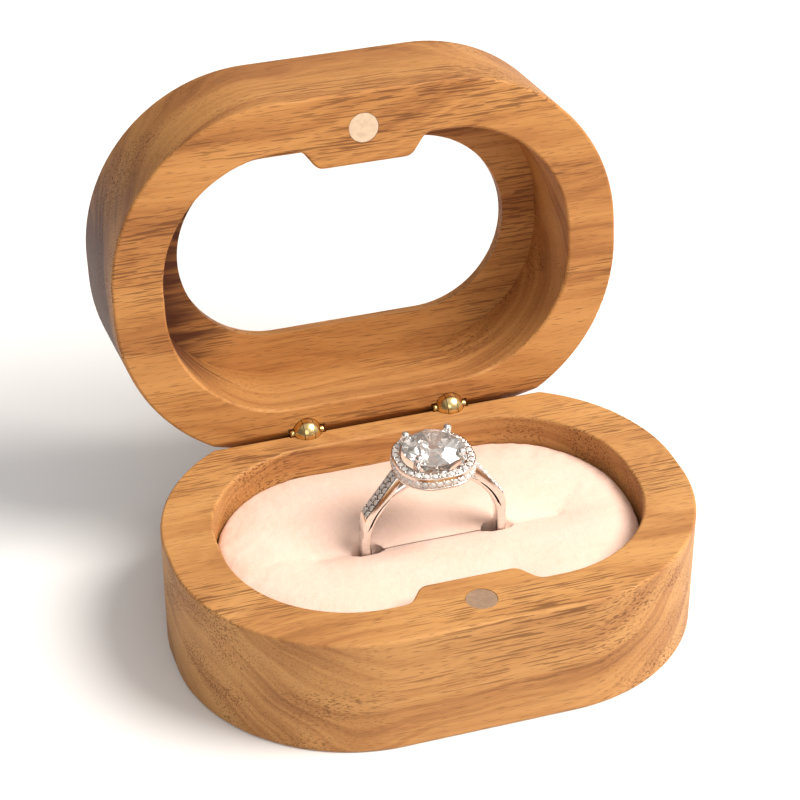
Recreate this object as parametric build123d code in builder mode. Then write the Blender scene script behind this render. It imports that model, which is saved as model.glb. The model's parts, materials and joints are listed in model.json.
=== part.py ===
"""Oval wooden ring box with a windowed lid, standing open with an engagement ring in its cushion.

Millimetres.  X runs to the right, Y to the rear and Z up.  The origin is the centre of the
underside of the base, on the surface that the box stands on.  The box is drawn with the lid
open against its stop.
"""
import math
import os

from build123d import *

# ---------------------------------------------------------------- wooden halves
box_length = 70.0
box_width = 50.2
end_flat = 3.0  # short straight stretch at the middle of each rounded end
base_height = 17.1
lid_height = 17.2
wall = 6.85
floor_thickness = 3.0
rim_easing = 0.4

# ---------------------------------------------------------------- lid window
hollow_depth = 13.2  # from the mating face to the lip round the window
lip_thickness = 1.6
window_length = 46.8
window_width = 26.0
pane_thickness = 2.0
pane_bearing = 2.5  # how far the pane laps over the lip
pane_gap = 0.1
pane_easing = 0.25

# ---------------------------------------------------------------- front boss and magnets
boss_depth = 3.0
boss_tip_width = 12.8
boss_root_width = 17.1
boss_fillet = 1.8
magnet_diameter = 4.0
magnet_thickness = 2.0
magnet_gap = 0.05  # glue line round a magnet, and how far it sits below the wood

# ---------------------------------------------------------------- hinges
open_angle = 97.4
pivot_inset = 3.05  # from the rear wall to the hinge line
hinge_spacing = 20.5
hinge_edge_radius = 0.8
hinge_line_relief = 0.45  # how deep the chamfer already is at the hinge line
barrel_diameter = 4.0
barrel_depth = 7.5
bore_gap = 0.05  # glue line round a barrel, and the running gap round its knuckle
knuckle_gap = 0.08  # between two leaves
middle_leaf = 1.34
pin_diameter = 1.2
pin_running_gap = 0.04
pin_length = 4.8
pin_relief = 0.2
pin_easing = 0.3

# ---------------------------------------------------------------- cushion
cushion_drop = 3.0  # from the mating face down to the top of the cushion
cushion_gap = 0.2
cushion_shoulder = 1.5
velvet_thickness = 0.8
slot_gap = 0.2  # between the ring and the walls of its slot

# ---------------------------------------------------------------- ring
ring_y = -1.25
ring_bore = 17.3
ring_stand = 1.3  # foam left under the ring
band_side = 1.3
band_taper = 0.35  # how much thicker the band is at the bottom than at the sides
band_width = 2.1
shoulder_foot = (1.25, 8.1)  # these four are the height above the bore and the angle from level
shoulder_knee = (1.6, 18.8)
shoulder_low = (1.68, 25.2)
shoulder_inner = (0.81, 54.5)
shoulder_overhang = 0.15  # how far the shoulder's top stands out past the halo
shoulder_thickness = 1.0
seat_half_width = 2.7
culet_hole = 1.3

halo_size = 10.4
halo_corner = 4.4
halo_height = 1.9
halo_rise = 1.25  # from the top of the finger hole to the underside of the halo
halo_bore = 8.3
halo_side_height = 0.85  # of the stones in its side, above its underside

stone_diameter = 8.2
stone_table = 4.6
crown_height = 1.2
girdle_height = 0.2
pavilion_depth = 3.3
stone_lift = 0.95  # from the top of the halo to the girdle

claw_diameter = 0.8
claw_ball = 1.1
claw_foot_radius = 2.2
claw_reach = 4.45
claw_lap = 0.09  # how far the middle of a claw's ball stands in over the girdle
stone_gap = 0.02
collet_height = 0.7

melee_diameter = 0.92
melee_depth = 0.35
melee_proud = 0.15
melee_taper = 50.0  # of the small stones' crowns, in degrees
shoulder_pitch = 0.98
shoulder_rows = 2
shoulder_columns = 7
halo_top_count = 28
halo_side_count = 34

# ---------------------------------------------------------------- drawing margins
cut_margin = 1.0  # how far a cutting shape runs past what it cuts
pick_margin = 0.01  # how far past a place its corners are looked for

# ---------------------------------------------------------------- worked out from the above
end_radius = (box_width - end_flat) / 2
cavity_length = box_length - 2 * wall
cavity_width = box_width - 2 * wall
cavity_radius = end_radius - wall
cavity_depth = base_height - floor_thickness
pivot_y = box_width / 2 - pivot_inset
magnet_y = box_width / 2 - (wall + boss_depth) / 2
chamfer_angle = open_angle / 2
cushion_top = base_height - cushion_drop
band_radius = ring_bore / 2 + band_side
ring_bore_height = floor_thickness + ring_stand + band_radius + band_taper
halo_bottom = ring_bore_height + ring_bore / 2 + halo_rise
girdle_bottom = halo_bottom + halo_height + stone_lift
opening = math.radians(open_angle)

# Each half is drawn from its mating face, with z running into the wood and y to the front.
base_face = Plane(origin=(0, 0, base_height), x_dir=(1, 0, 0), z_dir=(0, 0, -1))
lid_face = Plane(
    origin=(0, pivot_y - pivot_y * math.cos(opening), base_height + pivot_y * math.sin(opening)),
    x_dir=(-1, 0, 0),
    z_dir=(0, math.sin(opening), math.cos(opening)),
)

sides = {"left": -1, "right": 1}


def side_plane(face, x=0.0):
    """The plane across a half at a given x, with its own x to the front and y into the wood."""
    origin = face.origin + face.x_dir * x
    return Plane(origin=origin, x_dir=face.y_dir, z_dir=face.y_dir.cross(face.z_dir))


def pivot_plane(face, x=0.0):
    """The plane across a half at the hinge line."""
    across = side_plane(face, x)
    return Plane(origin=across.origin - face.y_dir * pivot_y, x_dir=across.x_dir, z_dir=across.z_dir)


def hinge_seat(face, x):
    """The plane square to a barrel at the hinge line."""
    return Plane(face.origin + face.x_dir * x - face.y_dir * pivot_y, face.x_dir, face.z_dir)


def cavity_outline():
    """The hollow seen from above: the outer outline moved in by the wall, less the front boss."""
    RectangleRounded(cavity_length, cavity_width, cavity_radius)
    front = cavity_width / 2
    tip = front - boss_depth
    Polygon(
        (-boss_root_width / 2, front),
        (-boss_tip_width / 2, tip),
        (boss_tip_width / 2, tip),
        (boss_root_width / 2, front),
        (boss_root_width / 2, front + cut_margin),
        (-boss_root_width / 2, front + cut_margin),
        align=None,
        mode=Mode.SUBTRACT,
    )
    reach = boss_root_width / 2 + pick_margin
    corners = vertices().filter_by_position(Axis.X, -reach, reach)
    fillet(corners.filter_by_position(Axis.Y, 0, front + cut_margin), boss_fillet)


def wooden_block(face, height, depth):
    """The rounded block of one half with its hollow and its eased rims."""
    with BuildSketch(face) as outside:
        RectangleRounded(box_length, box_width, end_radius)
    block = extrude(outside.sketch, amount=height)
    into = Axis(face.origin, face.z_dir)
    outer_rims = block.faces().sort_by(into)[0].edges() + block.faces().sort_by(into)[-1].edges()
    fillet(outer_rims, rim_easing)
    with BuildSketch(face) as hollow:
        cavity_outline()
    extrude(hollow.sketch, amount=depth, mode=Mode.SUBTRACT)
    mating = faces().sort_by(into)[0]
    fillet(mating.inner_wires().edges(), rim_easing)


def hinge_cuts(face):
    """Chamfer at the hinge line, the two hinge bores and the reliefs for the pin ends.

    The two chamfers meet along the rear wall when the lid is open, and stand apart at the hinge line.
    """
    stop_depth = pivot_inset * math.tan(math.radians(chamfer_angle))
    slope = math.atan((stop_depth - hinge_line_relief) / pivot_inset)
    edge = hinge_line_relief / math.tan(slope)
    tangent = hinge_edge_radius * math.tan(slope / 2)
    reach = pivot_inset + cut_margin
    arc_start = (edge + tangent, 0)
    arc_end = (edge - tangent * math.cos(slope), tangent * math.sin(slope))
    deep = (-reach, (edge + reach) * math.tan(slope))
    with BuildSketch(pivot_plane(face)) as chamfered:
        with BuildLine():
            TangentArc(arc_start, arc_end, tangent=(-1, 0))
            Polyline(arc_end, deep, (-reach, -cut_margin), (arc_start[0], -cut_margin), arc_start)
        make_face()
    extrude(chamfered.sketch, amount=box_length, both=True, mode=Mode.SUBTRACT)
    for side in sides.values():
        x = side * hinge_spacing / 2
        with BuildSketch(hinge_seat(face, x)) as bore:
            Circle(barrel_diameter / 2 + bore_gap)
        extrude(bore.sketch, amount=barrel_depth, mode=Mode.SUBTRACT)
        with BuildSketch(pivot_plane(face, x)) as relief:
            Circle(pin_diameter / 2 + pin_relief)
        extrude(relief.sketch, amount=pin_length / 2 + pin_relief, both=True, mode=Mode.SUBTRACT)


def magnet_pocket(face):
    with BuildSketch(face) as pocket:
        with Locations((0, magnet_y)):
            Circle(magnet_diameter / 2 + magnet_gap)
    extrude(pocket.sketch, amount=magnet_thickness + magnet_gap, mode=Mode.SUBTRACT)


def make_base_shell():
    with BuildPart() as shell:
        wooden_block(base_face, base_height, cavity_depth)
        hinge_cuts(base_face)
        magnet_pocket(base_face)
    return shell


def make_lid_frame():
    lip_top = hollow_depth + lip_thickness
    with BuildPart() as frame:
        wooden_block(lid_face, lid_height, hollow_depth)
        with BuildSketch(lid_face.offset(hollow_depth)):
            SlotOverall(window_length, window_width)
        extrude(amount=lid_height, mode=Mode.SUBTRACT)
        with BuildSketch(lid_face.offset(lip_top)):
            SlotOverall(window_length + 2 * pane_bearing, window_width + 2 * pane_bearing)
        extrude(amount=lid_height, mode=Mode.SUBTRACT)
        hinge_cuts(lid_face)
        magnet_pocket(lid_face)
    return frame


def make_window_pane():
    lap = 2 * (pane_bearing - pane_gap)
    with BuildPart() as pane:
        with BuildSketch(lid_face.offset(hollow_depth + lip_thickness)):
            SlotOverall(window_length + lap, window_width + lap)
        extrude(amount=pane_thickness)
        outer = faces().sort_by(Axis(lid_face.origin, lid_face.z_dir))[-1]
        chamfer(outer.edges(), pane_easing)
    return pane


def make_magnet(face):
    with BuildPart() as magnet:
        with BuildSketch(face.offset(magnet_gap)):
            with Locations((0, magnet_y)):
                Circle(magnet_diameter / 2)
        extrude(amount=magnet_thickness)
    return magnet


# ---------------------------------------------------------------- barrel hinges


def barrel_body(face, x):
    """The glued cylinder of one half, cut back to the chamfer behind the hinge line."""
    with BuildSketch(hinge_seat(face, x)) as seat:
        Circle(barrel_diameter / 2)
    extrude(seat.sketch, amount=barrel_depth)
    reach = barrel_diameter
    rise = reach * math.tan(math.radians(chamfer_angle))
    with BuildSketch(pivot_plane(face, x)) as behind:
        Polygon((0, 0), (-reach, 0), (-reach, rise), align=None)
    extrude(behind.sketch, amount=barrel_diameter, both=True, mode=Mode.SUBTRACT)


def knuckle_ball(face, x, half_width):
    """The part of the knuckle's ball within half_width of its middle, turned about the hinge line."""
    with BuildSketch(hinge_seat(face, x)) as section:
        Circle(barrel_diameter / 2)
        Rectangle(2 * half_width, barrel_diameter, mode=Mode.INTERSECT)
        with Locations((0, -barrel_diameter / 2)):
            Rectangle(2 * barrel_diameter, barrel_diameter, mode=Mode.SUBTRACT)
    centre = hinge_seat(face, x)
    revolve(section.sketch, axis=Axis(centre.origin, centre.x_dir))


def make_base_barrel(x):
    """Two outer leaves, with a slot between them for the middle leaf of the lid's barrel."""
    middle = pivot_plane(base_face, x)
    with BuildPart() as barrel:
        barrel_body(base_face, x)
        knuckle_ball(base_face, x, barrel_diameter / 2)
        with BuildSketch(middle):
            Circle(barrel_diameter / 2 + bore_gap)
        extrude(amount=middle_leaf / 2 + knuckle_gap, both=True, mode=Mode.SUBTRACT)
        with BuildSketch(middle):
            Circle(pin_diameter / 2)
        extrude(amount=barrel_diameter, both=True, mode=Mode.SUBTRACT)
    return barrel


def make_lid_barrel(x):
    """One middle leaf, with room on both sides of it for the leaves of the base's barrel."""
    middle = pivot_plane(lid_face, x)
    reach = barrel_diameter / 2 + bore_gap
    with BuildPart() as barrel:
        barrel_body(lid_face, x)
        for side in sides.values():
            with BuildSketch(middle.offset(side * middle_leaf / 2)):
                Circle(reach)
            extrude(amount=side * (reach - middle_leaf / 2), mode=Mode.SUBTRACT)
        knuckle_ball(lid_face, x, middle_leaf / 2)
        with BuildSketch(middle):
            Circle(pin_diameter / 2 + pin_running_gap)
        extrude(amount=barrel_diameter, both=True, mode=Mode.SUBTRACT)
    return barrel


def make_hinge_pin(x):
    """A straight pin with slightly domed ends that stand out of the ball on both sides."""
    with BuildPart() as pin:
        with BuildSketch(pivot_plane(base_face, x)):
            Circle(pin_diameter / 2)
        extrude(amount=pin_length / 2, both=True)
        fillet(edges().filter_by(GeomType.CIRCLE), pin_easing)
    return pin


# ---------------------------------------------------------------- cushion


def cushion_block(inset, top):
    """The cavity's outline moved in by inset, from the floor up to a rounded top."""
    with BuildSketch(base_face) as outline:
        cavity_outline()
        offset(amount=-inset, mode=Mode.REPLACE)
    upright = outline.sketch.moved(Location((0, 0, top - base_height)))
    extrude(upright, amount=top - floor_thickness)
    fillet(faces().sort_by(Axis.Z)[-1].edges(), cushion_shoulder - inset)


def ring_slot(gap):
    """The deep round-bottomed slot that holds the lower half of the ring."""
    across = Plane(origin=(0, ring_y, ring_bore_height), x_dir=(1, 0, 0), z_dir=(0, -1, 0))
    with BuildSketch(across) as slot:
        with Locations((0, -band_taper)):
            Circle(band_radius + gap)
        with Locations((0, box_width / 2 - band_taper)):
            Rectangle(2 * (band_radius + gap), box_width)
    extrude(slot.sketch, amount=band_width / 2 + gap, both=True, mode=Mode.SUBTRACT)


def make_cushion_foam():
    with BuildPart() as foam:
        cushion_block(cushion_gap + velvet_thickness, cushion_top - velvet_thickness)
        ring_slot(slot_gap + velvet_thickness)
    return foam


def make_cushion_velvet(foam):
    with BuildPart() as velvet:
        cushion_block(cushion_gap, cushion_top)
        add(foam.part, mode=Mode.SUBTRACT)
        ring_slot(slot_gap)
    return velvet


# ---------------------------------------------------------------- ring


def ring_plane(y=ring_y):
    """The plane of the ring: x to the right, y up, seen from the front."""
    return Plane(origin=(0, y, ring_bore_height), x_dir=(1, 0, 0), z_dir=(0, -1, 0))


def on_band(side, place):
    """A point of the shoulder, from its height above the bore and its angle from level."""
    radius = ring_bore / 2 + place[0]
    angle = math.radians(place[1])
    return side * radius * math.cos(angle), radius * math.sin(angle)


def shoulder_line(side):
    """Lower and upper ends of one shoulder's outer face, from the centre of the finger hole."""
    high = (side * (halo_size / 2 + shoulder_overhang), halo_bottom - ring_bore_height)
    return on_band(side, shoulder_low), high


def shoulder_planes(side):
    """One plane on the outer face of a shoulder for each of its small stones."""
    low, high = shoulder_line(side)
    along = Vector(high[0] - low[0], 0, high[1] - low[1])
    start = Vector(low[0], ring_y, ring_bore_height + low[1])
    normal = Vector(side * abs(along.Z), 0, abs(along.X)).normalized()
    spare = along.length - shoulder_columns * shoulder_pitch
    step = along.normalized()
    planes = []
    for column in range(shoulder_columns):
        for row in range(shoulder_rows):
            across = (row - (shoulder_rows - 1) / 2) * shoulder_pitch
            reach = spare / 2 + (column + 0.5) * shoulder_pitch
            centre = start + step * reach + Vector(0, across, 0)
            planes.append(Plane(origin=centre, x_dir=(0, 1, 0), z_dir=normal))
    return planes


def halo_row_points(half_size, corner, count):
    """Evenly spaced places round a rounded square about the centre of the ring."""
    with BuildSketch(Plane.XY) as row:
        with Locations((0, ring_y)):
            RectangleRounded(2 * half_size, 2 * half_size, corner)
    loop = row.face().outer_wire()
    shares = [(i + 0.5) / count for i in range(count)]
    return [(loop.position_at(share), loop.tangent_at(share)) for share in shares]


def halo_top_planes():
    half = (halo_size / 2 + halo_bore / 2) / 2
    top = halo_bottom + halo_height
    return [
        Plane(origin=(place.X, place.Y, top), z_dir=(0, 0, 1))
        for place, _ in halo_row_points(half, halo_corner - (halo_size / 2 - half), halo_top_count)
    ]


def halo_side_planes():
    height = halo_bottom + halo_side_height
    planes = []
    for place, along in halo_row_points(halo_size / 2, halo_corner, halo_side_count):
        outward = Vector(along.Y, -along.X, 0)
        if outward.dot(Vector(place.X, place.Y - ring_y, 0)) < 0:
            outward = -outward
        planes.append(Plane(origin=(place.X, place.Y, height), x_dir=(0, 0, 1), z_dir=outward))
    return planes


def melee_seats(planes):
    """Round seats for small stones, cut into the metal under each plane."""
    for plane in planes:
        with BuildSketch(plane) as seat:
            Circle(melee_diameter / 2)
        extrude(seat.sketch, amount=-melee_depth, mode=Mode.SUBTRACT)


def make_melee(planes):
    """Small round stones, each standing a little proud of its seat with a bevelled crown."""
    with BuildPart() as stones:
        for plane in planes:
            with BuildSketch(plane.offset(-melee_depth)):
                Circle(melee_diameter / 2)
            extrude(amount=melee_depth)
            with BuildSketch(plane):
                Circle(melee_diameter / 2)
            extrude(amount=melee_proud, taper=melee_taper)
    return stones


def make_ring_shank():
    """The band with its cathedral shoulders, seats for their stones and a seat for the setting."""
    seat = halo_bottom - ring_bore_height
    with BuildPart() as shank:
        with BuildSketch(ring_plane()):
            with Locations((0, -band_taper)):
                Circle(band_radius)
            with Locations((0, seat / 2)):
                Rectangle(2 * seat_half_width, seat)
            for side in sides.values():
                low, high = shoulder_line(side)
                foot = on_band(side, shoulder_foot)
                knee = on_band(side, shoulder_knee)
                head = (high[0] - side * shoulder_thickness, seat)
                inner = on_band(side, shoulder_inner)
                Polygon(foot, knee, low, high, head, inner, align=None)
            Circle(ring_bore / 2, mode=Mode.SUBTRACT)
        extrude(amount=band_width / 2, both=True)
        melee_seats(shoulder_planes(sides["left"]) + shoulder_planes(sides["right"]))
        with BuildSketch(Plane.XY.offset(halo_bottom)):
            with Locations((0, ring_y)):
                Circle(culet_hole / 2)
        extrude(amount=-(halo_rise + cut_margin), mode=Mode.SUBTRACT)
    return shank


def make_ring_halo():
    """The rounded square plate round the centre stone, with seats on its top and its side."""
    with BuildPart() as halo:
        with BuildSketch(Plane.XY.offset(halo_bottom)):
            with Locations((0, ring_y)):
                RectangleRounded(halo_size, halo_size, halo_corner)
                Circle(halo_bore / 2, mode=Mode.SUBTRACT)
        extrude(amount=halo_height)
        melee_seats(halo_top_planes())
        melee_seats(halo_side_planes())
    return halo


def stone_profile(grow):
    """Half of the centre stone's section, moved outwards by grow."""
    radius = stone_diameter / 2 + grow
    table = stone_table / 2 + grow
    low = girdle_bottom - grow
    high = girdle_bottom + girdle_height + grow
    return [
        (0, girdle_bottom - pavilion_depth - grow),
        (radius, low),
        (radius, high),
        (table, high + crown_height),
        (0, high + crown_height),
    ]


def turn_stone(grow, mode):
    """The centre stone, turned about the upright line through the middle of the setting."""
    with BuildSketch(Plane(origin=(0, ring_y, 0), x_dir=(1, 0, 0), z_dir=(0, -1, 0))) as section:
        Polygon(*stone_profile(grow), align=None)
    revolve(section.sketch, axis=Axis((0, ring_y, 0), (0, 0, 1)), mode=mode)


def make_centre_stone():
    with BuildPart() as stone:
        turn_stone(0, Mode.ADD)
    return stone


def make_ring_claws():
    """A collet ring with four claws that lean out to a ball over the stone's girdle."""
    foot_height = halo_bottom + collet_height / 2
    ball_height = girdle_bottom + girdle_height + claw_ball / 2
    ball_radius = stone_diameter / 2 - claw_lap
    with BuildPart() as claws:
        with BuildSketch(Plane.XY.offset(halo_bottom)):
            with Locations((0, ring_y)):
                Circle(claw_foot_radius + claw_diameter / 2)
                Circle(claw_foot_radius - claw_diameter / 2, mode=Mode.SUBTRACT)
        extrude(amount=collet_height)
        for corner in range(4):
            turn = math.radians(45 + 90 * corner)
            out = Vector(math.cos(turn), math.sin(turn), 0)
            foot = Vector(0, ring_y, foot_height) + out * claw_foot_radius
            knee = Vector(0, ring_y, girdle_bottom) + out * claw_reach
            ball = Vector(0, ring_y, ball_height) + out * ball_radius
            with BuildLine() as path:
                Polyline(foot, knee, ball)
            with BuildSketch(Plane(origin=foot, z_dir=knee - foot)):
                Circle(claw_diameter / 2)
            sweep(path=path.wire(), transition=Transition.ROUND)
            with Locations(ball):
                Sphere(claw_ball / 2)
        turn_stone(stone_gap, Mode.SUBTRACT)
    return claws


# ---------------------------------------------------------------- all the pieces


def make_pieces():
    pieces = {
        "base_shell": make_base_shell(),
        "base_magnet": make_magnet(base_face),
        "cushion_foam": make_cushion_foam(),
        "lid_frame": make_lid_frame(),
        "window_pane": make_window_pane(),
        "lid_magnet": make_magnet(lid_face),
        "ring_shank": make_ring_shank(),
        "ring_halo": make_ring_halo(),
        "ring_claws": make_ring_claws(),
        "centre_stone": make_centre_stone(),
        "halo_top_stones": make_melee(halo_top_planes()),
        "halo_side_stones": make_melee(halo_side_planes()),
    }
    pieces["cushion_velvet"] = make_cushion_velvet(pieces["cushion_foam"])
    for name, side in sides.items():
        x = side * hinge_spacing / 2
        pieces[f"hinge_{name}_base_barrel"] = make_base_barrel(x)
        pieces[f"hinge_{name}_lid_barrel"] = make_lid_barrel(-x)
        pieces[f"hinge_{name}_pin"] = make_hinge_pin(x)
        pieces[f"shoulder_stones_{name}"] = make_melee(shoulder_planes(side))
    return pieces


os.makedirs("parts", exist_ok=True)
for name, piece in make_pieces().items():
    piece.part.label = name
    export_step(piece.part, f"parts/{name}.step")
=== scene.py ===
import json
import math

import bmesh
import bpy
import numpy as np
from mathutils import Matrix, Vector, noise


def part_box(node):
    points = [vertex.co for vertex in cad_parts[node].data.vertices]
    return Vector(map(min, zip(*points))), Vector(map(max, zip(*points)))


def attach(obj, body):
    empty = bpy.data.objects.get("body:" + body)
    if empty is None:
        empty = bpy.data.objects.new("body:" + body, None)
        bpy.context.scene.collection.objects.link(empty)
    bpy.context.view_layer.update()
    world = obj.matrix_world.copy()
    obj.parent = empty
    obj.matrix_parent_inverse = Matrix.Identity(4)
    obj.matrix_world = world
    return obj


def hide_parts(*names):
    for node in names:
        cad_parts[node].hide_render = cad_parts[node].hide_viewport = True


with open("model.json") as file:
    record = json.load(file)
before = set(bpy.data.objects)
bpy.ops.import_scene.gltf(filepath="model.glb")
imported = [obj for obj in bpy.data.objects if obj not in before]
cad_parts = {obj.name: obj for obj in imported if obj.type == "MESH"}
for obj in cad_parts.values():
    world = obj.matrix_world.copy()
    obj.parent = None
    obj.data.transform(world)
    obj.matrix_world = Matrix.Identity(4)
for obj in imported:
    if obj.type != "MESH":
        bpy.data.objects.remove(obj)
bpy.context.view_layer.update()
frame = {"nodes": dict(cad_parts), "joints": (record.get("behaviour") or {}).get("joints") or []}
nodes = frame["nodes"]
MM = 0.001

# ---------------------------------------------------------------- sizes
slit_left = -15.5 * MM
slit_right = 17.4 * MM
slit_width = 0.45 * MM
slit_depth = 3.0 * MM
lips_closed = 0.2  # share of the slit's width left between its lips
lip_depth = 0.7 * MM  # the lips of the slit close over a wider slot below
slot_width = 2.5 * MM
slot_gap = 0.2 * MM
eye_width = 2.3 * MM  # where a leg of the ring goes into the cushion
eye_inner = 7.9 * MM
eye_outer = 10.05 * MM
eye_taper = 1.0 * MM
notch_depth = 3.2 * MM
notch_root = 8.8 * MM
notch_tip = 6.65 * MM
notch_round = 0.95 * MM
end_flat = 3.0 * MM
pad_edge = 1.5 * MM  # the part of the pad's side that may swell
pad_rim = 1.2 * MM
pad_headroom = 0.45 * MM  # kept free for the swelling
pad_swell = 0.9 * MM
swell_reach = 2.6 * MM  # how far from the slit the pad is held down
pad_smooth_depth = 3.0 * MM
coarse_voxel = 0.9 * MM
fine_voxel = 0.3 * MM
cloth_frames = 20
cloth_scale = 10.0
cloth_pressure = 4.0

bore_rise = 0.35 * MM  # the finger hole's centre above the centre of the band's outer round
bore_radius = 8.65 * MM
band_round = 0.45 * MM
shoulder_foot = (9.75 * MM, 1.2 * MM)  # x and height from the centre of the finger hole
shoulder_knee = (9.72 * MM, 3.1 * MM)
shoulder_low = (9.35 * MM, 4.4 * MM)
shoulder_high = (5.35 * MM, 9.9 * MM)
shoulder_head = (4.3 * MM, 9.9 * MM)
shoulder_inner = (5.5 * MM, 7.7 * MM)
shoulder_edge = 0.05 * MM
channel_rim = 0.1 * MM
channel_depth = 0.22 * MM
floor_thick = 0.02 * MM
post_tall = 2.2 * MM
post_foot_radius = 1.02 * MM
post_head_radius = 2.55 * MM

melee_radius = 0.45 * MM
melee_table = 0.26 * MM
melee_crown = 0.16 * MM
melee_culet = 0.3 * MM
bead_radius = 0.13 * MM
bead_reach = 0.34 * MM
bead_sink = 0.1 * MM

halo_corner = 4.4 * MM
rail_thick = 0.3 * MM
rails = (  # height above the halo's underside, how tall, how proud
    (0.0, 0.36 * MM, 0.07 * MM),
    (1.62 * MM, 0.22 * MM, 0.04 * MM),
)

girdle_rise = 3.3 * MM  # above the centre stone's point
girdle_thick = 0.14 * MM
table_radius = 2.3 * MM
culet_radius = 0.12 * MM
star_radius, star_rise = 0.80, 0.52  # shares of the stone's radius and of its crown
main_radius, main_rise = 0.26, 0.24  # shares of the stone's radius and of its pavilion
claw_foot_radius = 2.2 * MM
claw_knee_radius = 4.45 * MM
claw_tip_radius = 4.01 * MM
claw_thick = 0.42 * MM
claw_thin = 0.36 * MM
claw_ball = 0.55 * MM
claw_foot_rise = 0.3 * MM
claw_tip_rise = 0.75 * MM
collar_radius = 0.34 * MM
collar_rise = 0.35 * MM

# ---------------------------------------------------------------- places, from the frame
velvet_low, velvet_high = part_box("cushion_velvet")
shank_low, shank_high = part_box("ring_shank")
halo_low, halo_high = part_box("ring_halo")
stone_low, stone_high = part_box("centre_stone")
pin_low, pin_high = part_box("hinge_left_pin")
ring_y = (shank_low.y + shank_high.y) / 2
band_width = shank_high.y - shank_low.y
band_radius = (shank_high.x - shank_low.x) / 2
band_centre = Vector((0, ring_y, shank_low.z + band_radius))
bore_centre = band_centre + Vector((0, 0, bore_rise))
pivot = (pin_low + pin_high) / 2
lid_hinge = next(joint for joint in frame["joints"] if joint["name"] == "lid_hinge")
lid_turn = math.radians(lid_hinge["range_deg"][1])


# ---------------------------------------------------------------- shader sums
class Value:
    """One socket of a material. Sums with it add Math nodes."""

    def __init__(self, finish, socket):
        self.finish = finish
        self.socket = socket

    def __add__(self, other):
        return self.finish.sum("ADD", self, other)

    def __radd__(self, other):
        return self.finish.sum("ADD", other, self)

    def __sub__(self, other):
        return self.finish.sum("SUBTRACT", self, other)

    def __rsub__(self, other):
        return self.finish.sum("SUBTRACT", other, self)

    def __mul__(self, other):
        return self.finish.sum("MULTIPLY", self, other)

    def __rmul__(self, other):
        return self.finish.sum("MULTIPLY", other, self)

    def __pow__(self, other):
        return self.finish.sum("POWER", self, other)


class Finish:
    """A material that is built up from nodes."""

    def __init__(self, name, seed=0.0):
        self.seed = seed
        self.material = bpy.data.materials.new(name)
        self.material.use_nodes = True
        self.tree = self.material.node_tree
        self.shader = self.tree.nodes["Principled BSDF"]

    def plug(self, socket, value):
        if isinstance(value, Value):
            self.tree.links.new(value.socket, socket)
        else:
            socket.default_value = value

    def node(self, kind, settings, inputs, output=0):
        """Adds a node: its settings or ramp stops first, then its inputs by name or number."""
        made = self.tree.nodes.new(kind)
        for name, value in settings.items():
            if name == "stops":
                ramp = made.color_ramp.elements
                while len(ramp) < len(value):
                    ramp.new(0.5)
                for stop, (place, colour) in zip(ramp, value):
                    stop.position = place
                    stop.color = (*colour, 1)
            else:
                setattr(made, name, value)
        for name, value in inputs.items():
            self.plug(made.inputs[name], value)
        return Value(self, made.outputs[output])

    def sum(self, operation, *values):
        return self.node("ShaderNodeMath", {"operation": operation}, dict(enumerate(values)))

    def place(self, scale=(1, 1, 1), turn=(0, 0, 0), shift=(0, 0, 0)):
        """Places on the piece in millimetres, moved, turned and stretched."""
        here = self.node("ShaderNodeTexCoord", {}, {}, "Object")
        per_mm = tuple(s / MM for s in scale)
        inputs = {"Vector": here, "Location": shift, "Rotation": turn, "Scale": per_mm}
        return self.node("ShaderNodeMapping", {}, inputs)

    def stretch(self, vector, scale, shift=(0, 0, 0)):
        return self.node("ShaderNodeMapping", {}, {"Vector": vector, "Location": shift, "Scale": scale})

    def row(self, along, across=0.0, up=0.0):
        return self.node("ShaderNodeCombineXYZ", {}, {0: along, 1: across, 2: up})

    def apart(self, vector):
        """The three numbers of a vector."""
        first = self.node("ShaderNodeSeparateXYZ", {}, {"Vector": vector})
        return [Value(self, output) for output in first.socket.node.outputs]

    def cloud(self, vector, detail=2.0, roughness=0.5):
        """Noise of about one lump per unit of the vector."""
        inputs = {"Vector": vector, "W": self.seed, "Scale": 1.0, "Detail": detail, "Roughness": roughness}
        return self.node("ShaderNodeTexNoise", {"noise_dimensions": "4D"}, inputs)

    def step(self, value, low, high):
        """0 below low and 1 above high, with a smooth rise between them."""
        settings = {"interpolation_type": "SMOOTHSTEP"}
        return self.node("ShaderNodeMapRange", settings, {"Value": value, "From Min": low, "From Max": high})

    def blend(self, share, first, second):
        """Mixes two colours: Mix keeps its colour inputs at 6 and 7 and its colour output at 2."""
        return self.node("ShaderNodeMix", {"data_type": "RGBA"}, {"Factor": share, 6: first, 7: second}, 2)

    def ramp(self, place, *stops):
        """A colour that changes with the place, from stops of a position and a colour."""
        return self.node("ShaderNodeValToRGB", {"stops": stops}, {"Fac": place})

    def bump(self, height, distance, strength):
        inputs = {"Height": height, "Distance": distance, "Strength": strength}
        return self.node("ShaderNodeBump", {}, inputs)

    def wear(self, **sockets):
        """Plugs the sums into the surface, whose inputs are named with a line for each space."""
        for name, value in sockets.items():
            self.plug(self.shader.inputs[name.replace("_", " ")], value)
        return self.material


def colour(red, green, blue):
    return (red, green, blue, 1)


# ---------------------------------------------------------------- materials
acacia_tones = (
    (0.37, (0.262, 0.098, 0.030)),
    (0.44, (0.408, 0.166, 0.050)),
    (0.50, (0.510, 0.228, 0.070)),
    (0.60, (0.600, 0.286, 0.094)),
)
# Dark heartwood colour, also used as painted shade on the outer walls at the left end
heartwood_and_shade = (0.070, 0.017, 0.012, 1)
pore_brown = (0.105, 0.036, 0.014, 1)
ring_wander = 18.0  # mm that the growth rings sway from round
ragged_reach = 22.0  # mm that the edge of the dark heartwood and painted shade follows the figure
heartwood_and_shade_share = 0.93


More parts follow.
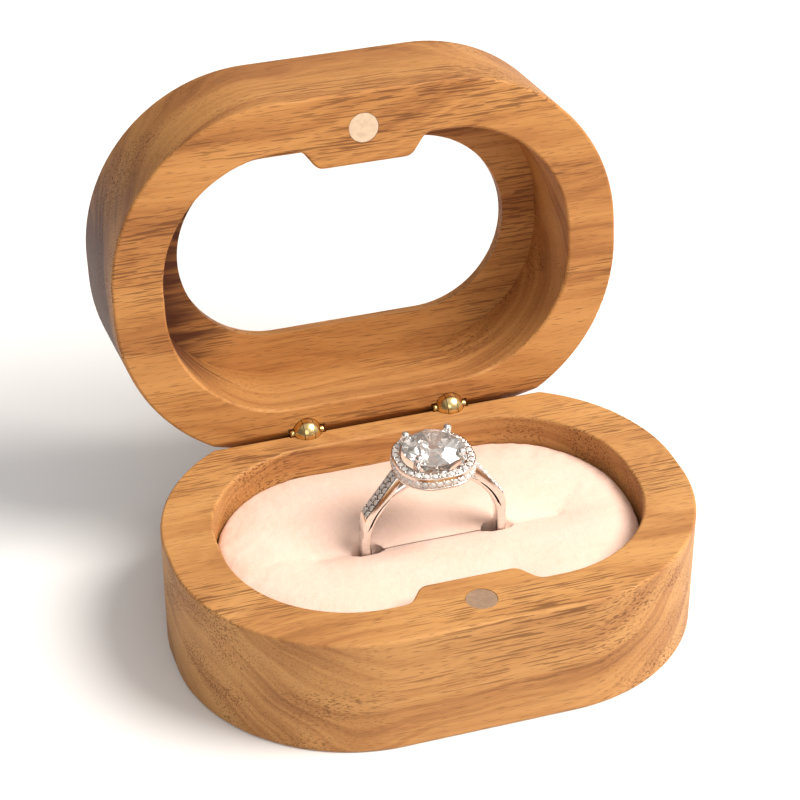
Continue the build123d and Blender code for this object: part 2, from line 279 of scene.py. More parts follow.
def acacia_pores(wood, board, along, across, up):
    """Long and short pores, which crowd together in patches. Returns them and their stain."""
    crowd = wood.step(wood.cloud(wood.stretch(board, (0.02, 0.13, 0.13), (7, 3, 1)), 1.0), 0.42, 0.60)
    long_shape = wood.cloud(wood.row(along * 0.21, across * 4.6, up * 4.6), 0.0)
    long_pores = wood.step(long_shape + crowd * 0.09, 0.655, 0.715)
    short_shape = wood.cloud(wood.row(along * 0.55 + 40, across * 7.5, up * 7.5), 0.0)
    short_pores = wood.step(short_shape + crowd * 0.05, 0.665, 0.735)
    stain_and_shade = wood.sum("MAXIMUM", long_pores * (crowd * 0.45 + 0.2), short_pores * 0.42)
    return long_pores, short_pores, stain_and_shade


def oiled_acacia(name, seed, pale, turn, shift, heart, dark_end):
    """Grain runs along X, and up is the depth from the mating face or the height from the underside.
    heart is the middle of the growth rings and dark_end is where the dark patch at the left starts: partly
    heartwood, partly painted shade on the outer walls away from the mating face."""
    wood = Finish(name, seed)
    board = wood.place(turn=(turn, 0, 0), shift=shift)
    along, across, up = wood.apart(board)
    sway = wood.cloud(wood.stretch(board, (0.02, 0.045, 0.045))) - 0.5
    from_heart = ((across - heart[0]) ** 2 + (up - heart[1]) ** 2) ** 0.5 + sway * ring_wander
    rings = wood.cloud(wood.row(along * 0.010, from_heart * 0.30), 3.0, 0.55)
    lines = wood.cloud(wood.row(along * 0.016, from_heart * 1.7))
    hairs = wood.cloud(wood.row(along * 0.05, across * 5.5, up * 5.5), 2.0, 0.6)
    figure = wood.cloud(wood.stretch(board, (0.035, 0.12, 0.12), (9, 2, 4)))
    tone = rings * 0.50 + lines * 0.17 + hairs * 0.10 + figure * 0.23
    stops = [(place, tuple(c * p for c, p in zip(shade, pale))) for place, shade in acacia_tones]
    body = wood.ramp(tone, *stops)
    # Painted shade with heartwood: the left end of the outer walls, deeper than the mating face, is darkened,
    # partly for heartwood and partly for the shade that falls there
    ragged = (lines + rings - 1.0) * ragged_reach + sway * 16
    left = wood.step(dark_end - along + ragged, 0.0, 11.0)
    under = wood.step(up + ragged * 0.25, 1.0, 6.5)
    inward = wood.step(across + ragged * 0.7, -17.0, -4.0)
    body = wood.blend(left * under * inward * heartwood_and_shade_share, body, heartwood_and_shade)
    long_pores, short_pores, stain_and_shade = acacia_pores(wood, board, along, across, up)
    height = hairs * 0.25 - long_pores - short_pores * 0.6
    return wood.wear(
        Base_Color=wood.blend(stain_and_shade, body, pore_brown),
        Roughness=0.40 + hairs * 0.12 + stain_and_shade * 0.25,
        Normal=wood.bump(height, 0.04 * MM, 0.4),
        Specular_IOR_Level=0.16,
    )


def ivory_velvet():
    """Short pile: tiny tufts, with patches where the nap leans one way or the other; the patches are painted
    lighter or darker, as painted sheen and shade.
    """
    cloth = Finish("ivory_velvet")
    spot = cloth.place()
    tufts = cloth.cloud(cloth.stretch(spot, (5.5, 5.5, 5.5)), 2.0, 0.7)
    clumps = cloth.cloud(cloth.stretch(spot, (1.3, 1.3, 1.3)))
    nap = cloth.cloud(cloth.stretch(spot, (0.14, 0.22, 0.2), (3, 1, 0)))
    # Painted sheen and shade: these tones stand for the light that the leaning pile catches or loses
    nap_shade_tone = (0.3, (0.80, 0.565, 0.435))
    upright = (0.5, (0.86, 0.62, 0.51))
    nap_sheen_tone = (0.7, (0.89, 0.655, 0.555))
    nap_sheen_and_shade = nap * 0.45 + clumps * 0.25 + tufts * 0.3
    return cloth.wear(
        Base_Color=cloth.ramp(nap_sheen_and_shade, nap_shade_tone, upright, nap_sheen_tone),
        Roughness=0.86 + tufts * 0.12,
        Normal=cloth.bump(tufts * 0.7 + clumps, 0.16 * MM, 0.5),
        Sheen_Weight=0.35,
        Sheen_Roughness=0.45,
        Sheen_Tint=colour(1.0, 0.95, 0.9),
        Specular_IOR_Level=0.15,
    )


def turned_metal(name, light, dark, rough, scratch, centre, across):
    """Polished metal with fine turning lines round an axis, and faint marks.
    across gives the two directions, as numbers, that the axis isn't along."""
    metal = Finish(name)
    spot = metal.place(shift=tuple(-c / MM for c in centre))
    sides = metal.apart(spot)
    first, second = (sides[i] for i in across)
    out = (first ** 2 + second ** 2) ** 0.5
    turning = metal.cloud(metal.row(out * 9.0), 2.0, 0.7)
    marks = metal.cloud(metal.stretch(spot, (1.1, 1.1, 1.1)), 3.0, 0.6)
    return metal.wear(
        Base_Color=metal.blend(metal.step(marks, 0.3, 0.75), light, dark),
        Metallic=1.0,
        Roughness=rough + turning * scratch + marks * scratch,
        Normal=metal.bump(turning, 0.012 * MM, 0.35),
    )


def white_gold(name, rough):
    """Mirror-polished metal with hairlines."""
    metal = Finish(name)
    spot = metal.place()
    polish = metal.cloud(metal.stretch(spot, (2.1, 2.1, 2.1)))
    hair = metal.cloud(metal.stretch(spot, (2.0, 22.0, 22.0)), 1.0)
    tint = metal.blend(metal.step(polish, 0.3, 0.7), colour(0.90, 0.87, 0.84), colour(0.80, 0.78, 0.76))
    return metal.wear(
        Base_Color=tint,
        Metallic=1.0,
        Roughness=rough + polish * 0.06 + hair * 0.04,
        Normal=metal.bump(hair, 0.004 * MM, 0.2),
    )


def painted_shade_gold():
    """Painted shade: dull, dark metal for the floors between the stones, standing for the shade and dark
    reflections there.
    """
    metal = Finish("painted_shade_gold")
    # Painted shade: a mottle between two dark colours, not a stain
    stain_and_shade = metal.cloud(metal.place((1.6, 1.6, 1.6)))
    return metal.wear(
        Base_Color=metal.blend(stain_and_shade, colour(0.07, 0.05, 0.04), colour(0.20, 0.15, 0.11)),
        Metallic=0.6,
        Roughness=0.4 + stain_and_shade * 0.2,
    )


def cut_stone(name, bend, clear):
    """Clear stone: all the light and dark comes from its facets."""
    stone = Finish(name)
    film = stone.cloud(stone.place((0.7, 0.7, 0.7)))
    return stone.wear(
        Base_Color=stone.blend(film, colour(1.0, 0.955, 0.91), colour(1.0, 0.975, 0.95)),
        Roughness=film * 0.015,
        Transmission_Weight=clear,
        IOR=bend,
    )


def clear_acrylic():
    """Thin clear sheet: seen through, with a polished face and faint wipe marks."""
    sheet = Finish("clear_acrylic")
    wipes = sheet.cloud(sheet.place((0.05, 0.4, 0.4)), 3.0)
    return sheet.wear(
        Base_Color=sheet.blend(wipes, colour(0.93, 0.96, 0.96), colour(0.98, 0.98, 0.98)),
        Roughness=0.03 + wipes * 0.05,
        Alpha=0.07 + wipes * 0.05,
        IOR=1.49,
    )


def plain_paper(name, tone):
    paper = Finish(name)
    return paper.wear(Base_Color=tone, Roughness=0.9)


# ---------------------------------------------------------------- mesh helpers
def as_object(bm, name, material, smooth_angle=None):
    """Makes a piece of a bmesh: merged, facing outwards, smooth up to an angle."""
    bmesh.ops.remove_doubles(bm, verts=bm.verts, dist=1e-7)
    bmesh.ops.recalc_face_normals(bm, faces=bm.faces)
    mesh = bpy.data.meshes.new(name)
    bm.to_mesh(mesh)
    bm.free()
    made = bpy.data.objects.new(name, mesh)
    bpy.context.scene.collection.objects.link(made)
    mesh.materials.append(material)
    if smooth_angle is not None:
        soften(made, smooth_angle)
    return made


def soften(piece, angle):
    """Smooth shading, broken where faces meet at more than the angle."""
    bm = bmesh.new()
    bm.from_mesh(piece.data)
    for face in bm.faces:
        face.smooth = True
    for edge in bm.edges:
        edge.smooth = len(edge.link_faces) == 2 and edge.calc_face_angle() < math.radians(angle)
    bm.to_mesh(piece.data)
    bm.free()


def flat_shape(bm, points):
    """A face through points in order."""
    return bm.faces.new([bm.verts.new(point) for point in points])


def thicken(bm, face, move):
    """Draws a face out into a closed solid."""
    drawn = bmesh.ops.extrude_face_region(bm, geom=[face], use_keep_orig=True)
    tops = [v for v in drawn["geom"] if isinstance(v, bmesh.types.BMVert)]
    bmesh.ops.translate(bm, verts=tops, vec=move)
    bmesh.ops.recalc_face_normals(bm, faces=bm.faces)


def round_edges(bm, edges, width, segments):
    bmesh.ops.bevel(bm, geom=edges, offset=width, segments=segments, affect="EDGES", profile=0.5, material=-1)


def round_corners(bm, corners, radius, segments):
    bmesh.ops.bevel(
        bm, geom=corners, offset=radius, segments=segments, affect="VERTICES", profile=0.5, material=-1
    )


def ball(bm, place, radius, around, rings):
    spot = Matrix.Translation(place)
    bmesh.ops.create_uvsphere(bm, u_segments=around, v_segments=rings, radius=radius, matrix=spot)


def add_shape(bm, shape):
    """Adds a closed shape to a piece, facing outwards, and frees it."""
    mesh = bpy.data.meshes.new("shape")
    bmesh.ops.recalc_face_normals(shape, faces=shape.faces)
    shape.to_mesh(mesh)
    shape.free()
    bm.from_mesh(mesh)
    bpy.data.meshes.remove(mesh)


def apply_modifiers(piece):
    """Works the piece's modifiers into its mesh."""
    bpy.context.view_layer.update()
    seen = piece.evaluated_get(bpy.context.evaluated_depsgraph_get())
    mesh = bpy.data.meshes.new_from_object(seen)
    piece.modifiers.clear()
    old = piece.data
    piece.data = mesh
    bpy.data.meshes.remove(old)


def turned_to(normal, place):
    """A matrix that stands a shape drawn along +Z on a face."""
    return Matrix.Translation(place) @ Vector((0, 0, 1)).rotation_difference(normal).to_matrix().to_4x4()


# ---------------------------------------------------------------- cushion
def cushion_outline(bm, low, high, height):
    """The cushion from above: rounded ends, and a notch at the front for the wooden boss."""
    front = low.y
    points = [
        (low.x, front, height),
        (-notch_root, front, height),
        (-notch_tip, front + notch_depth, height),
        (notch_tip, front + notch_depth, height),
        (notch_root, front, height),
        (high.x, front, height),
        (high.x, high.y, height),
        (low.x, high.y, height),
    ]
    flat_shape(bm, points)
    ends = [v for v in bm.verts if abs(v.co.x) > high.x * 0.99]
    round_corners(bm, ends, (high.y - low.y - end_flat) / 2, 20)
    notch = [v for v in bm.verts if abs(v.co.x) < notch_root * 1.01 and v.co.y < front + notch_depth * 1.01]
    round_corners(bm, notch, notch_round, 6)
    return bm.faces[:][0]


def leg_eye(bm, side, floor, top):
    """The opening of one leg of the ring, a pointed oval."""
    half = eye_width / 2
    narrow = slit_width / 2
    outline = [
        (eye_inner - eye_taper, -narrow),
        (eye_inner, -half),
        (eye_outer, -half),
        (eye_outer + eye_taper, -narrow),
        (eye_outer + eye_taper, narrow),
        (eye_outer, half),
        (eye_inner, half),
        (eye_inner - eye_taper, narrow),
    ]
    face = flat_shape(bm, [(side * x, ring_y + y, floor) for x, y in outline])
    thicken(bm, face, (0, 0, top - floor))


def long_slot(bm, lip):
    """The round slot that the ring's lower half stands in, ended below the lips."""
    upright = Matrix.Translation(band_centre) @ Matrix.Rotation(math.pi / 2, 4, "X")
    radius = band_radius + slot_gap
    bmesh.ops.create_cone(
        bm, cap_ends=True, segments=96, radius1=radius, radius2=radius, depth=slot_width, matrix=upright
    )
    whole = [*bm.verts, *bm.edges, *bm.faces]
    sliced = bmesh.ops.bisect_plane(
        bm, geom=whole, plane_co=(0, 0, lip), plane_no=(0, 0, 1), clear_outer=True
    )
    edges = [e for e in sliced["geom_cut"] if isinstance(e, bmesh.types.BMEdge)]
    bmesh.ops.contextual_create(bm, geom=edges)


def thin_slit(bm, floor, top):
    """The slit between the lips, from end to end."""
    blade = [
        (slit_left, -slit_width / 2),
        (slit_right, -slit_width / 2),
        (slit_right, slit_width / 2),
        (slit_left, slit_width / 2),
    ]
    face = flat_shape(bm, [(x, ring_y + y, floor) for x, y in blade])
    thicken(bm, face, (0, 0, top - floor))


def cut(piece, build, *sizes):
    """Cuts away the shape that build draws."""
    bm = bmesh.new()
    build(bm, *sizes)
    tool = as_object(bm, "cutter", plain_paper("cutter", colour(0.5, 0.5, 0.5)))
    difference = piece.modifiers.new("cut", "BOOLEAN")
    difference.operation = "DIFFERENCE"
    difference.solver = "EXACT"
    difference.object = tool
    apply_modifiers(piece)
    bpy.data.objects.remove(tool)


def remeshed(piece, size):
    voxels = piece.modifiers.new("even", "REMESH")
    voxels.mode = "VOXEL"
    voxels.voxel_size = size
    apply_modifiers(piece)


def near_slit(place):
    """Distance from the middle of the slit, measured on the top of the cushion."""
    beyond = max(slit_left - place.x, 0, place.x - slit_right)
    return math.hypot(beyond, place.y - ring_y)


def stuffed(piece):
    """Blows the cover up with the slit, the sides and the underside held, and caps how far it swells.
    It is enlarged for the simulation, which is steadier on larger cloth."""
    start = [v.co.copy() for v in piece.data.vertices]
    held = piece.vertex_groups.new(name="held")
    top = max(v.z for v in start)
    for vertex in piece.data.vertices:
        side = 1 - min(max((vertex.co.z - (top - pad_edge)) / pad_edge, 0), 1)
        slit = 1 - min(near_slit(vertex.co) / swell_reach, 1)
        held.add([vertex.index], max(side, slit), "REPLACE")
    piece.data.transform(Matrix.Scale(cloth_scale, 4))
    cloth = piece.modifiers.new("stuffing", "CLOTH")
    cloth.settings.quality = 5
    cloth.settings.use_pressure = True
    cloth.settings.uniform_pressure_force = cloth_pressure
    cloth.settings.vertex_group_mass = "held"
    cloth.settings.effector_weights.gravity = 0
    cloth.collision_settings.use_collision = False
    for step in range(cloth_frames):
        bpy.context.scene.frame_set(step + 1)
    apply_modifiers(piece)
    bpy.context.scene.frame_set(1)
    piece.data.transform(Matrix.Scale(1 / cloth_scale, 4))
    for vertex, before in zip(piece.data.vertices, start):
        move = vertex.co - before
        if move.length > pad_swell:
            move *= pad_swell / move.length
        vertex.co = before + move
    piece.vertex_groups.clear()


def settle_velvet(cushion):
    """Smooths the cut edges, closes the lips, and gives the top soft lumps and a fold along the slit."""
    bm = bmesh.new()
    bm.from_mesh(cushion.data)
    upper = [v for v in bm.verts if v.co.z > velvet_high.z - pad_smooth_depth]
    for _ in range(6):
        bmesh.ops.smooth_vert(bm, verts=upper, factor=0.5, use_axis_x=True, use_axis_y=True, use_axis_z=True)
    for vertex in upper:
        here = vertex.co
        apart = here.y - ring_y
        if abs(apart) < slit_width and abs(here.x) < eye_inner - eye_taper:
            vertex.co.y = ring_y + apart * lips_closed
        lump = noise.noise(here / (7 * MM)) * 0.16 + noise.noise(here / (1.1 * MM)) * 0.03
        fold = -0.25 * math.exp(-((near_slit(here) / (2.4 * MM)) ** 2))
        fold -= 0.35 * math.exp(-((near_slit(here) / (0.8 * MM)) ** 2))
        vertex.co.z += (lump + fold) * MM
    for face in bm.faces:
        face.smooth = True
    bm.to_mesh(cushion.data)
    bm.free()


def make_cushion():
    """A velvet pad over foam: a block, blown up, then cut for the ring."""
    bm = bmesh.new()
    face = cushion_outline(bm, velvet_low, velvet_high, velvet_low.z)
    thicken(bm, face, (0, 0, velvet_high.z - pad_headroom - velvet_low.z))
    rims = [e for e in bm.edges if all(v.co.z > velvet_high.z - 2 * pad_headroom for v in e.verts)]
    round_edges(bm, rims, pad_rim, 4)
    cushion = as_object(bm, "cushion", ivory_velvet())
    remeshed(cushion, coarse_voxel)
    stuffed(cushion)
    above = velvet_high.z + slit_depth
    cut(cushion, long_slot, velvet_high.z - lip_depth)
    cut(cushion, thin_slit, velvet_high.z - slit_depth, above)
    for side in (-1, 1):
        cut(cushion, leg_eye, side, velvet_high.z - 2 * lip_depth, above)
    remeshed(cushion, fine_voxel)
    settle_velvet(cushion)
    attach(cushion, "base")
    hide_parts("cushion_velvet", "cushion_foam")


# ---------------------------------------------------------------- ring
def stone_places(node):
    """The place and outward direction of every small stone in a CAD node, read from its shape."""
    bm = bmesh.new()
    bm.from_mesh(nodes[node].data)
    bmesh.ops.remove_doubles(bm, verts=bm.verts, dist=1e-6)
    left = set(bm.verts)
    places = []
    while left:
        island = {left.pop()}
        edge = list(island)
        while edge:
            vertex = edge.pop()
            for link in vertex.link_edges:
                other = link.other_vert(vertex)
                if other in left:
                    left.discard(other)
                    island.add(other)
                    edge.append(other)
        points = np.array([v.co for v in island])
        middle = points.mean(0)
        _, _, axes = np.linalg.svd(points - middle)
        axis = axes[2]
        rise = (points - middle) @ axis
        spread = np.linalg.norm(points - middle - np.outer(rise, axis), axis=1)
        if spread[rise > 0].mean() > spread[rise < 0].mean():
            axis, rise = -axis, -rise
        table = middle + axis * rise.max()
        places.append((Vector(table), Vector(axis)))
    bm.free()
    return places


def set_melee(bm, place, outward):
    """One small brilliant, its table on the given place."""
    up = turned_to(outward, place)
    cones = (  # cap, radius below, radius above, how tall, how deep its middle is
        (True, melee_radius, melee_table, melee_crown, melee_crown / 2),
        (False, 0, melee_radius, melee_culet, melee_crown + melee_culet / 2),
    )
    for cap, below, above, tall, sunk in cones:
        spot = up @ Matrix.Translation((0, 0, -sunk))
        bmesh.ops.create_cone(
            bm, cap_ends=cap, segments=8, radius1=below, radius2=above, depth=tall, matrix=spot
        )


def make_melee(node, material):
    """All the small stones of a node, each without the cap between its crown and its point."""
    bm = bmesh.new()
    for place, outward in stone_places(node):
        set_melee(bm, place, outward)
    inner = [f for f in bm.faces if len(f.verts) == 8 and f.calc_area() > 2 * melee_radius ** 2]
    bmesh.ops.delete(bm, geom=inner, context="FACES_ONLY")
    stones = as_object(bm, node + "_cut", material)
    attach(stones, "ring")
    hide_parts(node)


def bead(bm, place):
    ball(bm, place, bead_radius, 8, 5)


def make_beads(material):
    """Grains of metal that hold the small stones: two between neighbours on the halo, and four to
    each stone on the shoulders."""
    bm = bmesh.new()
    for node in ("halo_top_stones", "halo_side_stones"):
        row = sorted(stone_places(node), key=lambda s: math.atan2(s[0].y - ring_y, s[0].x))
        for (here, out_here), (there, out_there) in zip(row, row[1:] + row[:1]):
            between = (here + there) / 2
            outward = (out_here + out_there).normalized()
            across = outward.cross(there - here).normalized()
            for side in (-1, 1):
                bead(bm, between + across * side * bead_reach - outward * bead_sink)
    for node in ("shoulder_stones_left", "shoulder_stones_right"):
        places = stone_places(node)
        sink = places[0][1] * bead_sink
        for side in (-1, 1):
            line = sorted((p for p, _ in places if (p.y - ring_y) * side > 0), key=lambda p: p.z)
            step = line[1] - line[0]
            for place in line:
                for end in (-0.5, 0.5):
                    for reach in (-bead_reach, bead_reach):
                        bead(bm, place + step * end + Vector((0, reach, 0)) - sink)
    beads = as_object(bm, "setting_beads", material, 60)
    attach(beads, "ring")


def make_band(bm):
    """A rounded section turned once about the finger hole, then its outside dropped to thicken the foot."""
    thick = band_radius - bore_radius
    bmesh.ops.create_grid(bm, x_segments=1, y_segments=1, size=0.5)
    bmesh.ops.scale(bm, vec=(thick, band_width, 1), verts=bm.verts)
    round_corners(bm, bm.verts[:], band_round, 4)
    bmesh.ops.translate(bm, vec=(bore_radius + thick / 2, 0, 0), verts=bm.verts)
    bmesh.ops.delete(bm, geom=bm.faces[:], context="FACES_ONLY")
    section = [*bm.verts, *bm.edges]
    bmesh.ops.spin(
        bm, geom=section, cent=(0, 0, 0), axis=(0, 1, 0), angle=math.tau, steps=128, use_merge=True
    )
    outside = [v for v in bm.verts if math.hypot(v.co.x, v.co.z) > bore_radius + thick / 2]
    bmesh.ops.translate(bm, vec=(0, 0, -bore_rise), verts=outside)
    bmesh.ops.translate(bm, vec=bore_centre, verts=bm.verts)


def shoulder_slope(side):
    """The direction up a shoulder's outer slope, and the direction out of it."""
    run = shoulder_high[0] - shoulder_low[0]
    climb = shoulder_high[1] - shoulder_low[1]
    along = Vector((side * run, 0, climb)).normalized()
    outward = Vector((side * climb, 0, -run)).normalized()
    return along, outward


def make_shoulder(side):
    """One cathedral shoulder, with a sunk channel for its stones along the outer slope."""
    bm = bmesh.new()
    outline = (shoulder_foot, shoulder_knee, shoulder_low, shoulder_high, shoulder_head, shoulder_inner)
    face = flat_shape(bm, [(side * x, -band_width / 2, z) for x, z in outline])
    thicken(bm, face, (0, band_width, 0))
    along, outward = shoulder_slope(side)
    outer = max(bm.faces, key=lambda f: f.normal.dot(outward))
    bmesh.ops.inset_region(bm, faces=[outer], thickness=channel_rim, use_even_offset=True)
    bmesh.ops.translate(bm, vec=-outward * channel_depth, verts=outer.verts[:])
    sharp = [e for e in bm.edges if e.calc_length() > 0.6 * MM and e.calc_face_angle(0) > 0.3]
    round_edges(bm, sharp, shoulder_edge, 2)
    bmesh.ops.translate(bm, vec=bore_centre, verts=bm.verts)
    return bm


def make_channel_shade_sheets():
    """Painted shade: dark sheets on the floors of the two channels, seen between the shoulder stones,
    standing for the shade and dark reflections there.
    """
    bm = bmesh.new()
    for side in (-1, 1):
        low = Vector((side * shoulder_low[0], 0, shoulder_low[1]))
        high = Vector((side * shoulder_high[0], 0, shoulder_high[1]))
        along, outward = shoulder_slope(side)
        across = Vector((0, band_width / 2 - channel_rim, 0))
        sunk = outward * (channel_depth - 2 * floor_thick)
        start = bore_centre + low + along * channel_rim - sunk
        end = bore_centre + high - along * channel_rim - sunk
        face = flat_shape(bm, [start - across, end - across, end + across, start + across])
        thicken(bm, face, -outward * floor_thick)
    shade_sheets = as_object(bm, "channel_shade_sheets", painted_shade_gold())
    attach(shade_sheets, "ring")


def make_post():
    """The cone under the head, which stands between the shoulders."""
    bm = bmesh.new()
    spot = Matrix.Translation((0, ring_y, halo_low.z - post_tall / 2))
    bmesh.ops.create_cone(
        bm, cap_ends=True, segments=40, radius1=post_foot_radius, radius2=post_head_radius,
        depth=post_tall, matrix=spot,
    )
    return bm


def make_shank(material):
    bm = bmesh.new()
    make_band(bm)
    for shape in (make_shoulder(-1), make_shoulder(1), make_post()):
        add_shape(bm, shape)
    shank = as_object(bm, "ring_band", material, 35)
    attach(shank, "ring")
    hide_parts("ring_shank")


def strut(bm, start, end, thick_start, thick_end):
    along = end - start
    spot = turned_to(along.normalized(), (start + end) / 2)
    bmesh.ops.create_cone(
        bm, cap_ends=True, segments=20, radius1=thick_start, radius2=thick_end,
        depth=along.length, matrix=spot,
    )


def make_collar(bm):
    """The ring of wire that the claws stand on."""
    place = Matrix.Translation((claw_foot_radius, 0, halo_low.z + collar_rise))
    upright = place @ Matrix.Rotation(math.pi / 2, 4, "X")
    drawn = bmesh.ops.create_circle(bm, segments=16, radius=collar_radius, cap_ends=False, matrix=upright)
    loop = drawn["verts"]
    edges = {e for v in loop for e in v.link_edges}
    bmesh.ops.translate(bm, vec=(0, ring_y, 0), verts=loop)
    wire = [*loop, *edges]
    axis = (0, ring_y, 0)
    bmesh.ops.spin(
        bm, geom=wire, cent=axis, axis=(0, 0, 1), angle=math.tau, steps=48, use_merge=True
    )


def make_claws(material):
    """A collar with four claws that lean out past the girdle and end in a ball."""
    bm = bmesh.new()
    girdle = stone_low.z + girdle_rise
    for corner in range(4):
        turn = math.radians(45 + 90 * corner)
        out = Vector((math.cos(turn), math.sin(turn), 0))
        axis = Vector((0, ring_y, 0))
        foot = axis + out * claw_foot_radius + Vector((0, 0, halo_low.z + claw_foot_rise))
        knee = axis + out * claw_knee_radius + Vector((0, 0, girdle))
        tip = axis + out * claw_tip_radius + Vector((0, 0, girdle + claw_tip_rise))
        strut(bm, foot, knee, claw_thick, claw_thin)
        strut(bm, knee, tip, claw_thin, claw_thin)
        ball(bm, knee, claw_thin, 28, 18)
        ball(bm, tip, claw_ball, 28, 18)
    make_collar(bm)
    claws = as_object(bm, "stone_claws", material, 40)
    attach(claws, "ring")
    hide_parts("ring_claws")


def make_centre_stone(material):
    """A round brilliant: rings of corners at each height, with the facets stretched over them."""
    radius = (stone_high.x - stone_low.x) / 2
    culet = stone_low.z
    girdle = culet + girdle_rise
    top = stone_high.z
    levels = [  # corners, radius, height and turn as a share of a corner
        (8, table_radius, top, 0.5),
        (8, radius * star_radius, girdle + girdle_thick + (top - girdle) * star_rise, 0),
        (16, radius, girdle + girdle_thick, 0.5),
        (16, radius, girdle, 0.5),
        (8, radius * main_radius, culet + girdle_rise * main_rise, 0),
        (8, culet_radius, culet, 0.5),
    ]
    bm = bmesh.new()
    for count, size, height, turn in levels:
        level = Matrix.Translation((0, ring_y, height))
        turned = level @ Matrix.Rotation(turn * math.tau / count, 4, "Z")
        bmesh.ops.create_circle(bm, segments=count, radius=size, cap_ends=False, matrix=turned)
    bmesh.ops.delete(bm, geom=bm.edges[:], context="EDGES_FACES")
    bmesh.ops.convex_hull(bm, input=bm.verts)
    bmesh.ops.dissolve_limit(bm, angle_limit=math.radians(0.5), verts=bm.verts, edges=bm.edges)
    stone = as_object(bm, "brilliant", material)
    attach(stone, "ring")
    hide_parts("centre_stone")


def rounded_square(bm, size, corner, height):
    """A flat face with rounded corners about the middle of the ring."""
    spot = Matrix.Translation((0, ring_y, height))
    bmesh.ops.create_grid(bm, x_segments=1, y_segments=1, size=size / 2, matrix=spot)
    round_corners(bm, bm.verts[:], corner, 14)
    return bm.faces[:][0]


def make_gallery(material):
    """The plain rim under the halo's side stones, and the thin rail above them."""
    bm = bmesh.new()
    for height, tall, proud in rails:
        rail = bmesh.new()
        size = halo_high.x - halo_low.x + 2 * proud
        face = rounded_square(rail, size, halo_corner + proud, halo_low.z + height)
        bmesh.ops.inset_individual(rail, faces=[face], thickness=rail_thick, use_even_offset=True)
        bmesh.ops.delete(rail, geom=[face], context="FACES")
        band = rail.faces[:]
        drawn = bmesh.ops.extrude_face_region(rail, geom=band, use_keep_orig=True)
        tops = [v for v in drawn["geom"] if isinstance(v, bmesh.types.BMVert)]
        bmesh.ops.translate(rail, verts=tops, vec=(0, 0, tall))
        bmesh.ops.recalc_face_normals(rail, faces=rail.faces)
        sharp = [e for e in rail.edges if e.calc_face_angle(0) > 1.2]
        round_edges(rail, sharp, min(tall, rail_thick) * 0.4, 3)
        add_shape(bm, rail)
    gallery = as_object(bm, "halo_gallery", material, 50)
    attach(gallery, "ring")


# ---------------------------------------------------------------- finishes on the CAD pieces
def finish_nodes(material, *names):
    for name in names:
        mesh = nodes[name].data
        mesh.materials.clear()
        mesh.materials.append(material)


def finish_wood():
    """The lid's grain is laid out as the lid lies when it is closed, from its mating face."""
    base_wood = oiled_acacia(
        "acacia_base", seed=3.1, pale=(1.0, 1.1, 1.22), turn=0.0, shift=(0, 0, 0),
        heart=(14.0, -34.0), dark_end=-60.0,
    )
    finish_nodes(base_wood, "base_shell")
    closed = Matrix.Rotation(lid_turn, 3, "X") @ pivot
    face_shift = (0, (pivot.y - closed.y) / MM, -closed.z / MM)
    lid_wood = oiled_acacia(
        "acacia_lid", seed=8.7, pale=(0.93, 0.95, 0.95), turn=lid_turn, shift=face_shift,
        heart=(30.0, 40.0), dark_end=-17.0,
    )
    finish_nodes(lid_wood, "lid_frame")


def finish_fittings():
    """Brass hinges turned about the hinge line, and nickel magnets turned about their own middles."""
    brass = turned_metal(
        "turned_brass", light=colour(0.90, 0.67, 0.30), dark=colour(0.60, 0.41, 0.16),
        rough=0.12, scratch=0.12, centre=pivot, across=(1, 2),
    )
    finish_nodes(brass, *[name for name in nodes if name.startswith("hinge_")])
    for name, across in (("base_magnet", (0, 1)), ("lid_magnet", (0, 2))):
        low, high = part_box(name)
        nickel = turned_metal(
            name + "_nickel", light=colour(0.80, 0.60, 0.43), dark=colour(0.64, 0.48, 0.34),
            rough=0.26, scratch=0.14, centre=(low + high) / 2, across=across,
        )
        finish_nodes(nickel, name)


def make_ring(polished):
    finish_nodes(polished, "ring_halo")
    make_shank(polished)
    make_channel_shade_sheets()
    make_claws(polished)
    make_gallery(polished)
    make_beads(white_gold("white_gold_beads", 0.12))
    make_centre_stone(cut_stone("centre_stone", 2.3, 0.86))
    small = cut_stone("small_stones", 2.1, 0.42)
    for node in ("halo_top_stones", "halo_side_stones", "shoulder_stones_left", "shoulder_stones_right"):
        make_melee(node, small)


# ---------------------------------------------------------------- floor, light and camera
floor_size = 3.0
bright_side = Vector((0.55, -0.1, 0.85))
dark_wall = (0.22, 0.20, 0.19, 1)
bright_wall = (1.0, 0.985, 0.96, 1)
room_strength = 0.78
light_aim = Vector((0, 0, 0.03))
camera_azimuth = math.radians(-18.15)
camera_elevation = math.radians(34.39)
camera_distance = 0.313
camera_target = Vector((-0.0035, -0.0005, 0.0279))


def make_floor():
    bm = bmesh.new()
    bmesh.ops.create_grid(bm, x_segments=1, y_segments=1, size=floor_size)
    floor = as_object(bm, "floor", plain_paper("floor_paper", colour(0.9, 0.9, 0.9)))


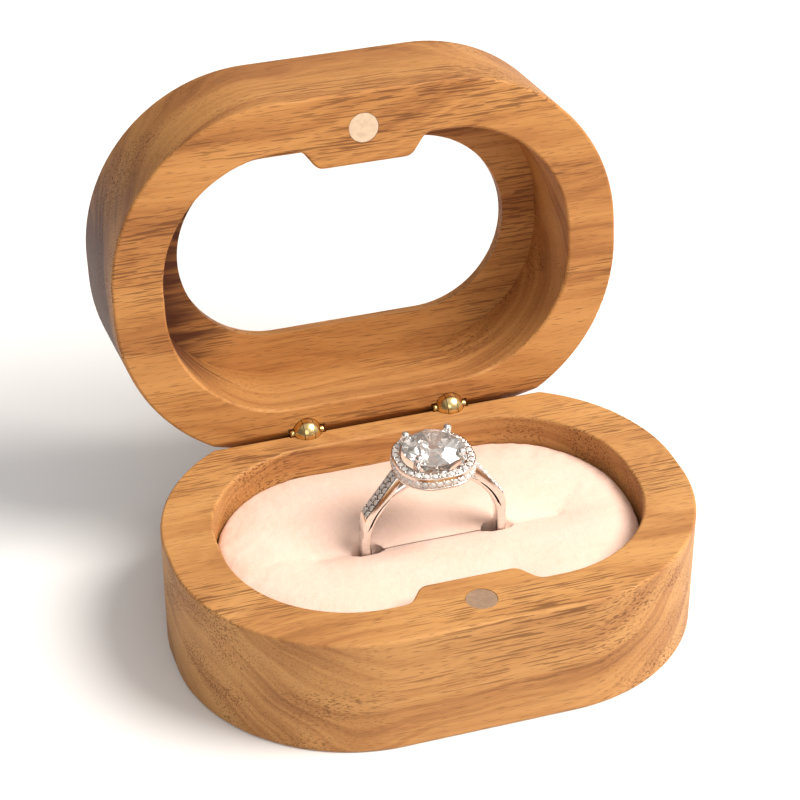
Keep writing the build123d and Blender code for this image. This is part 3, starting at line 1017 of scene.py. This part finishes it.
def make_room():
    """A studio that is bright towards the upper right and darker towards the lower left."""
    world = bpy.data.worlds.new("studio")
    world.use_nodes = True
    tree = world.node_tree
    where = tree.nodes.new("ShaderNodeTexCoord")
    toward = tree.nodes.new("ShaderNodeVectorMath")
    toward.operation = "DOT_PRODUCT"
    toward.inputs[1].default_value = bright_side.normalized()
    ramp = tree.nodes.new("ShaderNodeValToRGB")
    dark, bright = ramp.color_ramp.elements
    dark.color, dark.position = dark_wall, 0.0
    bright.color, bright.position = bright_wall, 0.8
    background = tree.nodes["Background"]
    tree.links.new(where.outputs["Generated"], toward.inputs[0])
    tree.links.new(toward.outputs["Value"], ramp.inputs["Fac"])
    tree.links.new(ramp.outputs["Color"], background.inputs["Color"])
    background.inputs["Strength"].default_value = room_strength
    bpy.context.scene.world = world
    bpy.context.scene.view_settings.view_transform = "Standard"


def soft_light(name, place, size, power, tint):
    lamp = bpy.data.lights.new(name, "AREA")
    lamp.shape = "DISK"
    lamp.size = size
    lamp.energy = power
    lamp.color = tint
    made = bpy.data.objects.new(name, lamp)
    made.location = place
    made.rotation_euler = (light_aim - Vector(place)).to_track_quat("-Z", "Y").to_euler()
    bpy.context.scene.collection.objects.link(made)


def make_camera():
    level = Vector((math.sin(camera_azimuth), -math.cos(camera_azimuth), 0))
    back = level * math.cos(camera_elevation) + Vector((0, 0, math.sin(camera_elevation)))
    lens = bpy.data.cameras.new("camera")
    lens.lens = 110.6
    lens.sensor_width = 36
    lens.shift_x = -0.0068
    lens.shift_y = 0.058
    lens.clip_start = 0.01
    camera = bpy.data.objects.new("camera", lens)
    camera.location = camera_target + back * camera_distance
    camera.rotation_euler = (-back).to_track_quat("-Z", "Y").to_euler()
    bpy.context.scene.collection.objects.link(camera)
    bpy.context.scene.camera = camera


# ---------------------------------------------------------------- the whole box
finish_wood()
finish_fittings()
finish_nodes(clear_acrylic(), "window_pane")
make_cushion()
make_ring(white_gold("white_gold", 0.11))
make_floor()
make_room()
soft_light("key", place=(0.42, -0.23, 0.62), size=0.46, power=7.9, tint=(1.0, 0.94, 0.87))
soft_light("fill", place=(-0.20, -0.60, 0.35), size=0.4, power=0.8, tint=(1.0, 0.95, 0.90))
make_camera()
